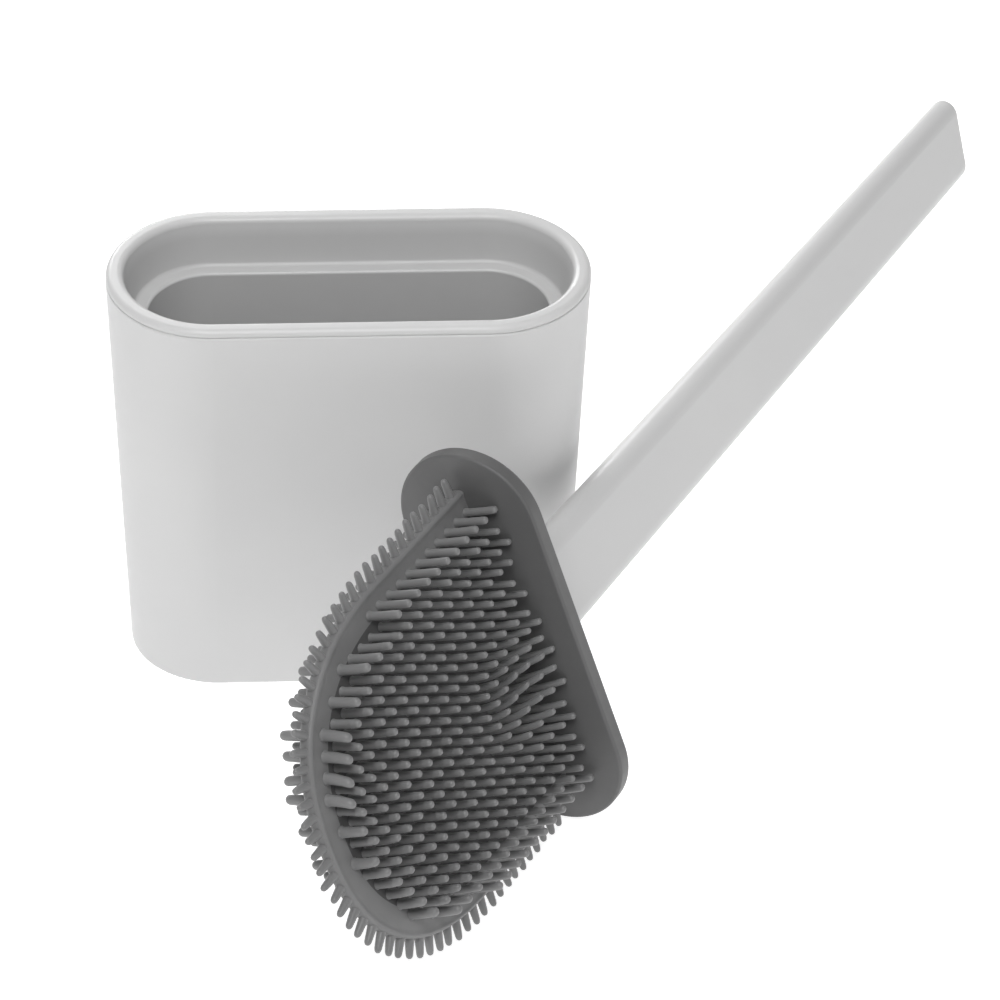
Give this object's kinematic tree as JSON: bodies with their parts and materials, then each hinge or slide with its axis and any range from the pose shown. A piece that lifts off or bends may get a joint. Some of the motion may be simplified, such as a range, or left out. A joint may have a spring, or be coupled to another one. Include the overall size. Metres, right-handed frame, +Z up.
{
  "type": "toilet brush and holder",
  "caption": "Flat flexible toilet brush with soft bristles, a lid flange and a long handle, lying beside its upright obround holder with a lift-out liner.",
  "frame": {"origin": "middle of the holder's foot, on the floor it stands on", "axes": "+Z up, +X along the holder's long side, -Y towards the front, where the brush lies"},
  "size_m": [0.2664, 0.3574, 0.1282],
  "materials": {
    "shell_plastic": "off-white moulded polypropylene, satin",
    "liner_plastic": "off-white moulded polypropylene, satin",
    "handle_plastic": "off-white moulded polypropylene, satin",
    "core_plastic": "grey moulded polypropylene, hidden inside the soft head",
    "soft_grey": "dark grey soft rubber, matt",
    "bristle_grey": "dark grey soft rubber, matt",
    "pad_foam": "black foam rubber, matt",
    "pin_steel": "plain steel"
  },
  "bodies": {
    "holder": {"holder_shell": "shell_plastic", "base_pad": "pad_foam"},
    "liner": {"liner": "liner_plastic"},
    "brush": {"head_core": "core_plastic", "lid_flange": "soft_grey", "blade_pad": "soft_grey", "front_bristles": "bristle_grey", "back_bristles": "bristle_grey", "edge_bristles": "bristle_grey", "handle": "handle_plastic", "retaining_pin": "pin_steel"}
  },
  "joints": [
    {"name": "liner_lift", "type": "slide", "parent": "holder", "child": "liner", "axis": [0, 0, 1], "range_m": [0, 0.13]},
    {"name": "brush_lift", "type": "slide", "parent": "holder", "child": "brush", "axis": [0, 0, 1], "range_m": [0, 0.2]}
  ]
}
